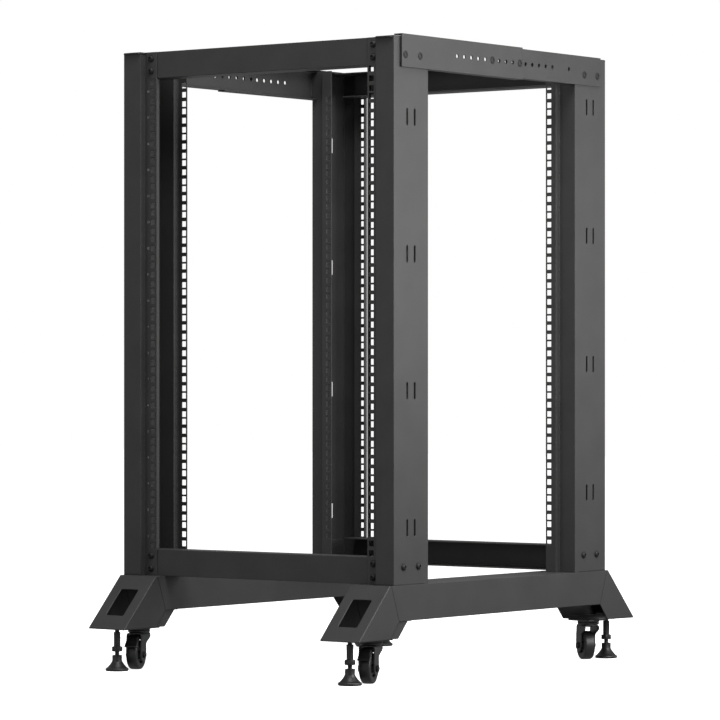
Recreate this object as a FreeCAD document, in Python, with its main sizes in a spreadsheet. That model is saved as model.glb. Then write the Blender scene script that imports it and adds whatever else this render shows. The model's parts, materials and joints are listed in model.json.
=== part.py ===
import FreeCAD, Part
import Sketcher
import math
import os

# Four post open frame rack, 18 units of usable height, on casters and levelling feet.
# Millimetres, +Z up, origin on the floor under the middle of the rack.
# The front of the rack faces -Y and its right-hand side is +X.

doc = FreeCAD.newDocument("OpenFrameRack")
sheet = doc.addObject("Spreadsheet::Sheet", "Sizes")


class Size:
    # A length known both as a number and as the spreadsheet expression behind it.
    def __init__(self, value, text):
        self.value = float(value)
        self.text = text

    def __add__(self, other):
        other = as_size(other)
        return Size(self.value + other.value, "(" + self.text + " + " + other.text + ")")

    def __sub__(self, other):
        other = as_size(other)
        return Size(self.value - other.value, "(" + self.text + " - " + other.text + ")")

    def __mul__(self, other):
        other = as_size(other)
        return Size(self.value * other.value, "(" + self.text + " * " + other.text + ")")

    def __truediv__(self, other):
        other = as_size(other)
        return Size(self.value / other.value, "(" + self.text + " / " + other.text + ")")

    def __neg__(self):
        return Size(-self.value, "(0 - " + self.text + ")")


def as_size(item):
    if isinstance(item, Size):
        return item
    if item < 0:
        return Size(item, "(0 - " + repr(abs(item)) + ")")
    return Size(item, repr(item))


def root(item):
    return Size(math.sqrt(item.value), "sqrt(" + item.text + ")")


row_number = [0]


def size(alias, value):
    # One row of the sheet: its name beside its number.
    row_number[0] += 1
    row = str(row_number[0])
    sheet.set("A" + row, alias)
    sheet.set("B" + row, str(value))
    sheet.setAlias("B" + row, alias)
    return Size(value, "Sizes." + alias)


# Frame
rack_width = size("rack_width", 574.0)
rack_depth = size("rack_depth", 615.0)
wall = size("wall", 2.0)
unit = size("unit", 44.45)
usable_units = size("usable_units", 18.0)
deck = size("deck", 158.0)

# Posts
post_depth = size("post_depth", 93.5)
face_width = size("face_width", 36.7)
face_step = size("face_step", 12.0)
strip_edge = size("strip_edge", 62.5)
strip_lip = size("strip_lip", 7.3)
lip_clear = size("lip_clear", 1.0)
column_in = size("column_in", 54.45)
rear_face = size("rear_face", 33.5)
rear_edge = size("rear_edge", 52.5)
rear_column = size("rear_column", 46.0)
square_hole = size("square_hole", 9.5)
hole_low = size("hole_low", 6.35)
hole_mid = size("hole_mid", 22.225)
hole_high = size("hole_high", 38.1)
slot_long = size("slot_long", 28.0)
slot_wide = size("slot_wide", 5.0)
slot_apart = size("slot_apart", 20.4)
slot_first = size("slot_first", 48.0)
slot_pitch_units = size("slot_pitch_units", 5.0)

# Cross beams
beam_short = size("beam_short", 39.0)
beam_flange = size("beam_flange", 40.0)

# Side rails
rail_high = size("rail_high", 54.0)
rail_flange = size("rail_flange", 16.0)
rail_reach = size("rail_reach", 17.0)
rail_overlap = size("rail_overlap", 50.7)
rail_bottom_clear = size("rail_bottom_clear", 2.0)
rail_hole = size("rail_hole", 7.0)
rail_pitch = size("rail_pitch", 20.0)
rail_first = size("rail_first", 137.5)
rail_end_hole = size("rail_end_hole", 193.0)

# Base beams, feet and their brackets
base_wide = size("base_wide", 80.0)
base_high = size("base_high", 58.0)
base_top_reach = size("base_top_reach", 5.5)
base_slant = size("base_slant", 20.5)
tab_high = size("tab_high", 40.0)
tab_inset = size("tab_inset", 10.0)
toe_crest = size("toe_crest", 4.5)
toe_reach = size("toe_reach", 86.5)
toe_high = size("toe_high", 86.0)
toe_heel = size("toe_heel", 3.0)
window_wide = size("window_wide", 38.5)
window_low = size("window_low", 22.0)
window_tall = size("window_tall", 42.0)
plate_thick = size("plate_thick", 3.0)
tongue_back = size("tongue_back", 26.0)
tongue_top = size("tongue_top", 58.0)
tongue_clear = size("tongue_clear", 1.5)

# Levelling feet
leveller_ahead = size("leveller_ahead", 64.0)
pad_dia = size("pad_dia", 35.5)
pad_rim = size("pad_rim", 2.5)
pad_cone = size("pad_cone", 12.0)
collar_dia = size("collar_dia", 15.0)
collar_top = size("collar_top", 24.0)
stem_dia = size("stem_dia", 7.8)
stem_top = size("stem_top", 90.0)
nut_low = size("nut_low", 33.0)
nut_high = size("nut_high", 8.0)
nut_across = size("nut_across", 15.0)
running_gap = size("running_gap", 0.3)
pin_gap = size("pin_gap", 0.1)

# Casters
caster_ahead = size("caster_ahead", 7.5)
caster_plate = size("caster_plate", 56.0)
caster_plate_thick = size("caster_plate_thick", 2.5)
cup_dia = size("cup_dia", 38.0)
cup_high = size("cup_high", 3.0)
pin_dia = size("pin_dia", 8.0)
pin_head = size("pin_head", 13.0)
crown_thick = size("crown_thick", 2.5)
race_high = size("race_high", 3.7)
wheel_dia = size("wheel_dia", 50.0)
wheel_wide = size("wheel_wide", 19.0)
trail = size("trail", 13.0)
leg_gap = size("leg_gap", 2.0)
leg_thick = size("leg_thick", 2.5)
leg_wide = size("leg_wide", 19.0)
axle_dia = size("axle_dia", 6.0)
axle_nut = size("axle_nut", 10.0)
shield_gap = size("shield_gap", 3.0)
shield_thick = size("shield_thick", 3.0)

doc.recompute()

# Positions that follow from the sizes
half_wide = rack_width / 2
half_deep = rack_depth / 2
post_high = unit * (usable_units + 2)
post_top = deck + post_high
strip_face = half_deep - face_step
strip_back = strip_face - wall
column_x = half_wide - column_in
inner_face = half_deep - post_depth
inner_strip = inner_face - face_step
base_low = deck - base_high
toe_low = deck - toe_high
base_inner = half_wide - base_wide
foot_axis_x = half_wide - base_wide / 2
crest_front = half_deep + base_top_reach + toe_crest
toe_front = half_deep + base_top_reach + toe_reach
leveller_y = half_deep + leveller_ahead
caster_y = half_deep + caster_ahead


def bind(item, name, value):
    item.setExpression(name, as_size(value).text)


def origin_part(body, role):
    for feature in body.Origin.OriginFeatures:
        if feature.Role == role:
            return feature
    raise ValueError(role)


def new_body(name):
    body = doc.addObject("PartDesign::Body", name)
    body.Label = name
    return body


def new_sketch(body, name, role, offset):
    sketch = body.newObject("Sketcher::SketchObject", name)
    sketch.AttachmentSupport = [(origin_part(body, role), "")]
    sketch.MapMode = "FlatFace"
    bind(sketch, "AttachmentOffset.Base.z", offset)
    return sketch


def hold(sketch, kind, index, point, value):
    # Ties one coordinate of a sketch point to its expression.
    value = as_size(value)
    number = sketch.addConstraint(Sketcher.Constraint(kind, -1, 1, index, point, value.value))
    sketch.setExpression("Constraints[" + str(number) + "]", value.text)


def outline(sketch, points):
    # A closed run of straight lines through the given points.
    points = [(as_size(x), as_size(y)) for x, y in points]
    first = sketch.GeometryCount
    count = len(points)
    for number in range(count):
        start = points[number]
        end = points[(number + 1) % count]
        a = FreeCAD.Vector(start[0].value, start[1].value, 0)
        b = FreeCAD.Vector(end[0].value, end[1].value, 0)
        sketch.addGeometry(Part.LineSegment(a, b))
    for number in range(count):
        following = first + (number + 1) % count
        sketch.addConstraint(Sketcher.Constraint("Coincident", first + number, 2, following, 1))
    for number in range(count):
        hold(sketch, "DistanceX", first + number, 1, points[number][0])
        hold(sketch, "DistanceY", first + number, 1, points[number][1])


def box_outline(sketch, x0, x1, y0, y1):
    outline(sketch, [(x0, y0), (x1, y0), (x1, y1), (x0, y1)])


def ring(sketch, x, y, diameter):
    x = as_size(x)
    y = as_size(y)
    middle = FreeCAD.Vector(x.value, y.value, 0)
    circle = Part.Circle(middle, FreeCAD.Vector(0, 0, 1), diameter.value / 2)
    index = sketch.addGeometry(circle)
    hold(sketch, "DistanceX", index, 3, x)
    hold(sketch, "DistanceY", index, 3, y)
    number = sketch.addConstraint(Sketcher.Constraint("Diameter", index, diameter.value))
    sketch.setExpression("Constraints[" + str(number) + "]", diameter.text)


def slot(sketch, x, y, length, width):
    # An upright slot whose ends are cut off at the corners.
    half = width / 2
    rise = length / 2
    nick = width * 0.3
    outline(sketch, [
        (x - half, y - rise + nick),
        (x - half + nick, y - rise),
        (x + half - nick, y - rise),
        (x + half, y - rise + nick),
        (x + half, y + rise - nick),
        (x + half - nick, y + rise),
        (x - half + nick, y + rise),
        (x - half, y + rise - nick),
    ])


def pad(body, name, sketch, length):
    feature = body.newObject("PartDesign::Pad", name)
    feature.Profile = sketch
    bind(feature, "Length", length)
    return feature


def pocket(body, name, sketch, length):
    feature = body.newObject("PartDesign::Pocket", name)
    feature.Profile = sketch
    bind(feature, "Length", length)
    return feature


def revolve(body, name, sketch):
    feature = body.newObject("PartDesign::Revolution", name)
    feature.Profile = sketch
    feature.ReferenceAxis = (origin_part(body, "Z_Axis"), [""])
    feature.Angle = 360.0
    return feature


def line_pattern(body, name, feature, role, length, count):
    pattern = body.newObject("PartDesign::LinearPattern", name)
    pattern.Originals = [feature]
    pattern.Direction = (origin_part(body, role), [""])
    bind(pattern, "Length", length)
    bind(pattern, "Occurrences", count)
    body.Tip = pattern
    return pattern


def turned(degrees):
    return FreeCAD.Rotation(FreeCAD.Vector(0, 0, 1), degrees)


def set_down(body, x, y, z, degrees):
    # Placement of a piece: where it stands and how far it is turned about the vertical.
    spot = FreeCAD.Vector(as_size(x).value, as_size(y).value, as_size(z).value)
    body.Placement = FreeCAD.Placement(spot, turned(degrees))
    bind(body, "Placement.Base.x", x)
    bind(body, "Placement.Base.y", y)
    bind(body, "Placement.Base.z", z)


pieces = []


# Posts. Each is one folded sheet: a web on the outer side, a front flange that steps back to
# the strip of square holes, and a rear flange that steps the same way.
def build_post(name, side, slot_lift, degrees):
    body = new_body(name)
    profile = new_sketch(body, "profile_" + name, "XY_Plane", deck)
    web = half_wide
    front = -half_deep
    strip = -strip_face
    back = -inner_face
    rear = -inner_strip
    face_edge = half_wide - face_width
    hole_edge = half_wide - strip_edge
    rear_bend = half_wide - rear_face
    rear_end = half_wide - rear_edge
    points = [
        (web, front),
        (face_edge, front),
        (face_edge, strip),
        (hole_edge, strip),
        (hole_edge, strip + wall),
        (face_edge + wall, strip + wall),
        (face_edge + wall, front + wall),
        (web - wall, front + wall),
        (web - wall, back - wall),
        (rear_bend, back - wall),
        (rear_bend, rear - wall),
        (rear_end, rear - wall),
        (rear_end, rear),
        (rear_bend + wall, rear),
        (rear_bend + wall, back),
        (web, back),
    ]
    outline(profile, [(x * side, y) for x, y in points])
    sheet_body = pad(body, "sheet_" + name, profile, post_high)

    # The strip's own lip stops short of the cross beams.
    lip = new_sketch(body, "lip_profile_" + name, "XY_Plane", deck + unit + lip_clear)
    near = hole_edge * side
    far = (hole_edge + wall) * side
    box_outline(lip, near, far, strip + wall, strip + strip_lip)
    pad(body, "lip_" + name, lip, unit * usable_units - lip_clear * 2)

    half = square_hole / 2
    pattern_run = unit * (usable_units - 1)
    for label, face, column in (
        ("strip", strip_face, column_x),
        ("rear", inner_strip + wall, half_wide - rear_column),
    ):
        holes = new_sketch(body, label + "_holes_profile_" + name, "XZ_Plane", face)
        middle = column * side
        for rise in (hole_low, hole_mid, hole_high):
            height = deck + unit + rise
            box_outline(holes, middle - half, middle + half, height - half, height + half)
        cut = pocket(body, label + "_holes_" + name, holes, wall * 1.5)
        line_pattern(body, label + "_rows_" + name, cut, "Z_Axis", pattern_run, usable_units)

    web_side = half_wide if side > 0 else wall - half_wide
    slots = new_sketch(body, "slot_profile_" + name, "YZ_Plane", web_side)
    middle = -(half_deep + inner_face) / 2
    height = deck + unit + slot_first + unit * slot_lift
    slot(slots, middle - slot_apart / 2, height, slot_long, slot_wide)
    slot(slots, middle + slot_apart / 2, height, slot_long, slot_wide)
    cut = pocket(body, "slots_" + name, slots, wall * 1.5)
    line_pattern(body, "slot_rows_" + name, cut, "Z_Axis", unit * slot_pitch_units * 3, 4)
    set_down(body, 0, 0, 0, degrees)
    pieces.append(body)
    return sheet_body


build_post("post_front_right", 1, 0, 0)
build_post("post_front_left", -1, 1, 0)
build_post("post_rear_left", 1, 0, 180)
build_post("post_rear_right", -1, 1, 180)


# Cross beams. A channel one unit high whose web lies behind the strips.
def build_beam(name, low, degrees):
    body = new_body(name)
    profile = new_sketch(body, "profile_" + name, "YZ_Plane", beam_short - half_wide)
    front = -strip_back
    deep = front + beam_flange
    top = low + unit
    points = [
        (front, low),
        (deep, low),
        (deep, low + wall),
        (front + wall, low + wall),
        (front + wall, top - wall),
        (deep, top - wall),
        (deep, top),
        (front, top),
    ]
    outline(profile, points)
    pad(body, "channel_" + name, profile, rack_width - beam_short * 2)
    set_down(body, 0, 0, 0, degrees)
    pieces.append(body)


build_beam("beam_front_top", deck + post_high - unit, 0)
build_beam("beam_front_bottom", deck, 0)
build_beam("beam_rear_top", deck + post_high - unit, 180)
build_beam("beam_rear_bottom", deck, 180)


# Side rails. Two channels a side, the outer one over the inner one.
def build_outer_rail(name, degrees):
    body = new_body(name)
    out = half_wide + wall * 2
    top = post_top + wall * 2
    low = top - rail_high
    start = -(half_deep - rail_reach)
    end = rail_overlap
    web = new_sketch(body, "web_profile_" + name, "YZ_Plane", out - wall)
    box_outline(web, start, end, low, top)
    pad(body, "web_" + name, web, wall)
    upper = new_sketch(body, "upper_profile_" + name, "YZ_Plane", out - rail_flange)
    box_outline(upper, start, end, top - wall, top)
    pad(body, "upper_" + name, upper, rail_flange - wall / 2)
    lower = new_sketch(body, "lower_profile_" + name, "YZ_Plane", out - rail_flange)
    box_outline(lower, rail_bottom_clear - inner_face, end, low, low + wall)
    pad(body, "lower_" + name, lower, rail_flange - wall / 2)
    spacer = new_sketch(body, "spacer_profile_" + name, "YZ_Plane", half_wide)
    box_outline(spacer, start, -inner_face, low + wall * 3, post_top - wall)
    pad(body, "spacer_" + name, spacer, wall * 1.5)
    holes = new_sketch(body, "hole_profile_" + name, "YZ_Plane", out)
    ring(holes, -rail_first, top - rail_high / 2, rail_hole)
    cut = pocket(body, "hole_" + name, holes, wall * 1.4)
    line_pattern(body, "hole_row_" + name, cut, "Y_Axis", rail_pitch * 9, 10)
    set_down(body, 0, 0, 0, degrees)
    pieces.append(body)


def build_inner_rail(name, degrees):
    body = new_body(name)
    out = half_wide + wall
    top = post_top + wall
    low = top - rail_high + wall * 2
    start = -rail_overlap
    end = half_deep - rail_reach
    web = new_sketch(body, "web_profile_" + name, "YZ_Plane", out - wall)
    box_outline(web, start, end, low, top)
    pad(body, "web_" + name, web, wall)
    upper = new_sketch(body, "upper_profile_" + name, "YZ_Plane", out + wall - rail_flange)
    box_outline(upper, start, end, top - wall, top)
    pad(body, "upper_" + name, upper, rail_flange - wall * 1.5)
    lower = new_sketch(body, "lower_profile_" + name, "YZ_Plane", out + wall - rail_flange)
    box_outline(lower, start, inner_face - rail_bottom_clear, low, low + wall)
    pad(body, "lower_" + name, lower, rail_flange - wall * 1.5)
    end_hole = new_sketch(body, "end_hole_profile_" + name, "YZ_Plane", out)
    ring(end_hole, rail_end_hole, top + wall - rail_high / 2, rail_hole)
    pocket(body, "end_hole_" + name, end_hole, wall * 1.4)
    holes = new_sketch(body, "hole_profile_" + name, "YZ_Plane", out)
    ring(holes, rail_pitch * 5 - rail_first, top + wall - rail_high / 2, rail_hole)
    cut = pocket(body, "hole_" + name, holes, wall * 1.4)
    line_pattern(body, "hole_row_" + name, cut, "Y_Axis", rail_pitch * 9, 10)
    set_down(body, 0, 0, 0, degrees)
    pieces.append(body)


build_outer_rail("side_rail_right_outer", 0)
build_inner_rail("side_rail_right_inner", 0)
build_outer_rail("side_rail_left_outer", 180)
build_inner_rail("side_rail_left_inner", 180)


# Base beams. An inverted channel with slanted ends, and a tab inside each post's web.
def build_base(name, degrees):
    body = new_body(name)
    side_view = new_sketch(body, "side_profile_" + name, "YZ_Plane", base_inner)
    high_end = half_deep + base_top_reach
    low_end = high_end - base_slant
    points = [(-high_end, deck), (-low_end, base_low), (low_end, base_low), (high_end, deck)]
    outline(side_view, points)
    pad(body, "block_" + name, side_view, base_wide)
    hollow = new_sketch(body, "hollow_profile_" + name, "XZ_Plane", half_deep * 1.2)
    box_outline(hollow, base_inner + wall, half_wide - wall, base_low - wall, deck - wall)
    pocket(body, "hollow_" + name, hollow, rack_depth * 1.2)
    tabs = new_sketch(body, "tab_profile_" + name, "YZ_Plane", half_wide - wall * 2)
    near = inner_face + tab_inset
    far = half_deep - tab_inset
    for start, end in ((-far, -near), (near, far)):
        box_outline(tabs, start, end, deck - wall / 2, deck + tab_high)
    pad(body, "tabs_" + name, tabs, wall)
    set_down(body, 0, 0, 0, degrees)
    pieces.append(body)


build_base("base_beam_right", 0)
build_base("base_beam_left", 180)

# The four corners: the front feet are alike, and the rear ones are those turned half round.
left_shift = -(rack_width - base_wide)
corners = (
    ("front_right", 0, 0),
    ("front_left", left_shift, 0),
    ("rear_left", 0, 180),
    ("rear_right", -left_shift, 180),
)
toe_run = toe_front - crest_front
face_level = wall * root(toe_run * toe_run + toe_high * toe_high) / toe_high


# Feet. A sloped face with a window, between two side walls.
def build_foot(name, shift, degrees):
    body = new_body(name)
    side_view = new_sketch(body, "side_profile_" + name, "YZ_Plane", base_inner)
    back_top = half_deep + base_top_reach
    back_low = back_top - base_slant
    points = [
        (-back_top, deck),
        (-crest_front, deck),
        (-toe_front, toe_low),
        (-(back_top + toe_heel), toe_low),
        (-back_low, base_low),
    ]
    outline(side_view, points)
    pad(body, "block_" + name, side_view, base_wide)
    hollow = new_sketch(body, "hollow_profile_" + name, "YZ_Plane", half_wide - wall)
    slope = toe_run / toe_high
    high = deck - wall
    low = toe_low - wall * 3
    points = [
        (-(back_low - wall * 6), high),
        (-(crest_front - face_level + slope * wall), high),
        (-(crest_front - face_level + slope * (deck - low)), low),
        (-(back_low - wall * 6), low),
    ]
    outline(hollow, points)
    pocket(body, "hollow_" + name, hollow, base_wide - wall * 2)
    window = new_sketch(body, "window_profile_" + name, "XZ_Plane", toe_front)
    x0 = foot_axis_x - window_wide / 2
    x1 = foot_axis_x + window_wide / 2
    z0 = toe_low + window_low
    z1 = z0 + window_tall
    nick = wall
    points = [
        (x0 + nick, z0),
        (x1 - nick, z0),
        (x1, z0 + nick),
        (x1, z1 - nick),
        (x1 - nick, z1),
        (x0 + nick, z1),
        (x0, z1 - nick),
        (x0, z0 + nick),
    ]
    outline(window, points)
    pocket(body, "window_" + name, window, toe_front - half_deep)
    set_down(body, shift, 0, 0, degrees)
    pieces.append(body)


# Foot brackets. A floor plate for the caster and leveller, with one upturned tongue.
def build_bracket(name, shift, degrees):
    body = new_body(name)
    plate = new_sketch(body, "plate_profile_" + name, "XY_Plane", toe_low)
    back = half_deep + base_top_reach - base_slant
    slope = toe_run / toe_high
    front = crest_front - face_level + slope * (toe_high - plate_thick) - tongue_clear
    box_outline(plate, base_inner + wall, half_wide - wall, -front, -back)
    pad(body, "plate_" + name, plate, plate_thick)
    side_view = new_sketch(body, "tongue_profile_" + name, "YZ_Plane", half_wide - wall * 2)
    top = toe_low + tongue_top
    top_front = crest_front - face_level + slope * (toe_high - tongue_top) - tongue_clear
    points = [
        (-back, toe_low),
        (-front, toe_low),
        (-front, toe_low + plate_thick),
        (-top_front, top),
        (-(back - tongue_back), top),
        (-(back - tongue_back), base_low),
    ]
    outline(side_view, points)
    pad(body, "tongue_" + name, side_view, wall)
    hole = new_sketch(body, "stem_hole_profile_" + name, "XY_Plane", toe_low + plate_thick)
    ring(hole, foot_axis_x, -leveller_y, stem_dia + pin_gap * 2)
    pocket(body, "stem_hole_" + name, hole, plate_thick * 1.5)
    set_down(body, shift, 0, 0, degrees)
    pieces.append(body)


# Levellers. A pad, a collar and a threaded stem with its lock nut.
def build_leveller(name, x, y):
    body = new_body(name)
    profile = new_sketch(body, "profile_" + name, "XZ_Plane", 0)
    points = [
        (0, 0),
        (pad_dia / 2, 0),
        (pad_dia / 2, pad_rim),
        (collar_dia / 2, pad_cone),
        (collar_dia / 2, collar_top),
        (stem_dia / 2, collar_top),
        (stem_dia / 2, stem_top),
        (0, stem_top),
    ]
    outline(profile, points)
    revolve(body, "turned_" + name, profile)
    nut = new_sketch(body, "nut_profile_" + name, "XY_Plane", nut_low)
    radius = nut_across / math.sqrt(3)
    corners_of_nut = []
    for step in range(6):
        angle = math.radians(60 * step)
        corners_of_nut.append((radius * math.cos(angle), radius * math.sin(angle)))
    outline(nut, corners_of_nut)
    pad(body, "nut_" + name, nut, nut_high)
    set_down(body, x, y, 0, 0)
    pieces.append(body)


# Casters. Local X is the way the wheel trails behind the swivel axis.
crown_low = toe_low - caster_plate_thick - cup_high - running_gap - race_high - crown_thick
axle_z = wheel_dia / 2


def build_caster_plate(name, x, y, degrees):
    body = new_body(name)
    half = caster_plate / 2
    nick = caster_plate / 8
    plate = new_sketch(body, "plate_profile_" + name, "XY_Plane", toe_low - caster_plate_thick)
    points = [
        (nick - half, -half),
        (half - nick, -half),
        (half, nick - half),
        (half, half - nick),
        (half - nick, half),
        (nick - half, half),
        (-half, half - nick),
        (-half, nick - half),
    ]
    outline(plate, points)
    pad(body, "plate_" + name, plate, caster_plate_thick)
    cup_low = toe_low - caster_plate_thick - cup_high
    cup = new_sketch(body, "cup_profile_" + name, "XY_Plane", cup_low)
    ring(cup, 0, 0, cup_dia)
    pad(body, "cup_" + name, cup, cup_high + caster_plate_thick / 2)
    pin = new_sketch(body, "pin_profile_" + name, "XY_Plane", crown_low - wall)
    ring(pin, 0, 0, pin_dia)
    pad(body, "pin_" + name, pin, cup_low - crown_low + wall + cup_high / 2)
    head = new_sketch(body, "head_profile_" + name, "XY_Plane", crown_low - running_gap - wall)
    ring(head, 0, 0, pin_head)
    pad(body, "head_" + name, head, wall)
    set_down(body, x, y, 0, degrees)
    pieces.append(body)


def build_fork(name, x, y, degrees):
    body = new_body(name)
    inside = wheel_wide / 2 + leg_gap
    outside = inside + leg_thick
    reach = wheel_dia * 0.36
    crown = new_sketch(body, "crown_profile_" + name, "XY_Plane", crown_low)
    box_outline(crown, -reach, trail + leg_wide / 2, -outside, outside)
    pad(body, "crown_" + name, crown, crown_thick)
    race = new_sketch(body, "race_profile_" + name, "XY_Plane", crown_low + crown_thick / 2)
    ring(race, 0, 0, cup_dia)
    pad(body, "race_" + name, race, race_high + crown_thick / 2)
    bore = new_sketch(body, "bore_profile_" + name, "XY_Plane", crown_low + wheel_dia / 2)
    ring(bore, 0, 0, pin_dia + pin_gap * 2)
    pocket(body, "bore_" + name, bore, wheel_dia)
    for label, offset in (("left", inside), ("right", -outside)):
        leg = new_sketch(body, label + "_leg_profile_" + name, "XZ_Plane", -(offset + leg_thick))
        top = crown_low + crown_thick
        points = [
            (-reach * 0.5, top),
            (trail - leg_wide / 2, crown_low - wheel_dia * 0.3),
            (trail - leg_wide / 2, axle_z - leg_wide * 0.2),
            (trail - leg_wide * 0.2, axle_z - leg_wide / 2),
            (trail + leg_wide * 0.2, axle_z - leg_wide / 2),
            (trail + leg_wide / 2, axle_z - leg_wide * 0.2),
            (trail + leg_wide / 2, top),
        ]
        outline(leg, points)
        pad(body, label + "_leg_" + name, leg, leg_thick)
    cross = new_sketch(body, "axle_hole_profile_" + name, "XZ_Plane", outside * 2)
    ring(cross, trail, axle_z, axle_dia)
    pocket(body, "axle_hole_" + name, cross, outside * 4)
    set_down(body, x, y, 0, degrees)
    pieces.append(body)


def lay_across(body, x, y, degrees):
    # A turned piece whose own axis becomes the wheel's axis.
    angle = math.radians(degrees)
    px = as_size(x) + trail * math.cos(angle)
    py = as_size(y) + trail * math.sin(angle)
    flat = FreeCAD.Rotation(FreeCAD.Vector(1, 0, 0), 90)
    spot = FreeCAD.Vector(px.value, py.value, axle_z.value)
    body.Placement = FreeCAD.Placement(spot, turned(degrees).multiply(flat))
    bind(body, "Placement.Base.x", px)
    bind(body, "Placement.Base.y", py)
    bind(body, "Placement.Base.z", axle_z)


def build_wheel(name, x, y, degrees):
    body = new_body(name)
    profile = new_sketch(body, "profile_" + name, "XZ_Plane", 0)
    bore = axle_dia / 2 + pin_gap
    radius = wheel_dia / 2
    half = wheel_wide / 2
    points = [
        (bore, -half),
        (radius * 0.9, -half),
        (radius, -(half * 0.7)),
        (radius, half * 0.7),
        (radius * 0.9, half),
        (bore, half),
    ]
    outline(profile, points)
    revolve(body, "turned_" + name, profile)
    lay_across(body, x, y, degrees)
    pieces.append(body)


def build_axle(name, x, y, degrees):
    body = new_body(name)
    outside = wheel_wide / 2 + leg_gap + leg_thick
    shaft = new_sketch(body, "shaft_profile_" + name, "XY_Plane", -(outside + wall))
    ring(shaft, 0, 0, axle_dia)
    pad(body, "shaft_" + name, shaft, outside * 2 + wall * 2)
    radius = axle_nut / math.sqrt(3)
    hexagon = []
    for step in range(6):
        angle = math.radians(60 * step)
        hexagon.append((radius * math.cos(angle), radius * math.sin(angle)))
    for label, offset in (("nut", outside), ("head", -(outside + wall * 1.5))):
        end = new_sketch(body, label + "_profile_" + name, "XY_Plane", offset)
        outline(end, hexagon)
        pad(body, label + "_" + name, end, wall * 1.5)
    lay_across(body, x, y, degrees)
    pieces.append(body)


# The curved black cover over the trailing side of each front wheel.
def build_shield(name, x, y, degrees):
    body = new_body(name)
    inside = wheel_wide / 2 + leg_gap
    profile = new_sketch(body, "profile_" + name, "XZ_Plane", -inside)
    inner = wheel_dia / 2 + shield_gap
    outer = inner + shield_thick
    angles = [85, 67, 49, 31]
    points = []
    for angle in angles:
        turn = math.radians(angle)
        points.append((trail + outer * math.cos(turn), axle_z + outer * math.sin(turn)))
    for angle in reversed(angles):
        turn = math.radians(angle)
        points.append((trail + inner * math.cos(turn), axle_z + inner * math.sin(turn)))
    outline(profile, points)
    pad(body, "shell_" + name, profile, inside * 2)
    set_down(body, x, y, 0, degrees)
    pieces.append(body)


trail_angle = {"front_right": -70.8, "front_left": -70.8, "rear_right": 144.3, "rear_left": 144.3}
for corner, shift, degrees in corners:
    build_foot("foot_" + corner, shift, degrees)
    build_bracket("foot_bracket_" + corner, shift, degrees)
    east = foot_axis_x if corner.endswith("right") else -foot_axis_x
    sign = -1 if corner.startswith("front") else 1
    swing = trail_angle[corner]
    build_leveller("leveller_" + corner, east, leveller_y * sign)
    build_caster_plate("caster_plate_" + corner, east, caster_y * sign, 0)
    build_fork("caster_fork_" + corner, east, caster_y * sign, swing)
    build_wheel("caster_wheel_" + corner, east, caster_y * sign, swing)
    build_axle("caster_axle_" + corner, east, caster_y * sign, swing)
    if corner.startswith("front"):
        build_shield("caster_shield_" + corner, east, caster_y * sign, swing)

doc.recompute()

for item in doc.Objects:
    if "Invalid" in item.State or "Error" in item.State:
        raise RuntimeError("not computed: " + item.Name)

os.makedirs("parts", exist_ok=True)
for body in pieces:
    if body.Shape.isNull() or not body.Shape.isValid():
        raise RuntimeError("bad shape: " + body.Label)
    if len(body.Shape.Solids) != 1:
        raise RuntimeError("not one solid: " + body.Label)
    body.Shape.exportStep("parts/" + body.Label + ".step")
    print(body.Label, round(body.Shape.Volume, 1))
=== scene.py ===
import bpy
import json
import math
import numpy as np
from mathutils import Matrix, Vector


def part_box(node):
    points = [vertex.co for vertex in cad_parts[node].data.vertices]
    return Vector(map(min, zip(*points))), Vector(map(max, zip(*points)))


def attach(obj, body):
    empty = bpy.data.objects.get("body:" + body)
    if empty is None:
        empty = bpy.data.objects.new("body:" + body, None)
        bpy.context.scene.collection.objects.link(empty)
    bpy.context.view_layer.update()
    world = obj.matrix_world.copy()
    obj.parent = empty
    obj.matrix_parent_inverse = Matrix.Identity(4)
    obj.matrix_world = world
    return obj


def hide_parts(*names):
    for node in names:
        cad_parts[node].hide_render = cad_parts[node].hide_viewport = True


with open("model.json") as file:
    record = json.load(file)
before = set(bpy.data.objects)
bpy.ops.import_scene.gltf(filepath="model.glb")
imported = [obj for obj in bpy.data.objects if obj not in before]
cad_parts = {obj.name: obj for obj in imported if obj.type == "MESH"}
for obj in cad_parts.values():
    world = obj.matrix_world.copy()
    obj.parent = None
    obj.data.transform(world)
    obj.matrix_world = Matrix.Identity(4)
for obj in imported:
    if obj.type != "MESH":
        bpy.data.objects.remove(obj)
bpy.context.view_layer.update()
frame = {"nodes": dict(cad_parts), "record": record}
print("frame loaded")

corners = ("front_right", "front_left", "rear_left", "rear_right")


def signsOf(corner):
    # the corner's side as +1 or -1 along X and along Y
    return 1 if corner.endswith("right") else -1, -1 if corner.startswith("front") else 1


def linear(hexCode):
    # sRGB hex to linear light: the straight part below 0.04045, the 2.4 power above
    channels = [int(hexCode[i:i + 2], 16) / 255 for i in (0, 2, 4)]
    bent = [c / 12.92 if c <= 0.04045 else ((c + 0.055) / 1.055) ** 2.4 for c in channels]
    return tuple(bent) + (1.0,)


def addNode(tree, kind, settings=None, inputs=None):
    # one node with its settings; an input is a value, or (node, output) to link from
    made = tree.nodes.new(kind)
    for key, value in (settings or {}).items():
        setattr(made, key, value)
    for key, value in (inputs or {}).items():
        if isinstance(value, tuple) and len(value) == 2 and hasattr(value[0], "outputs"):
            tree.links.new(value[0].outputs[value[1]], made.inputs[key])
        else:
            made.inputs[key].default_value = value
    return made


def newMaterial(name):
    material = bpy.data.materials.new(name)
    material.use_nodes = True
    material.node_tree.nodes.clear()
    return material, material.node_tree


def finishMaterial(tree, shader):
    addNode(tree, "ShaderNodeOutputMaterial", None, {"Surface": (shader, "BSDF")})


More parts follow.
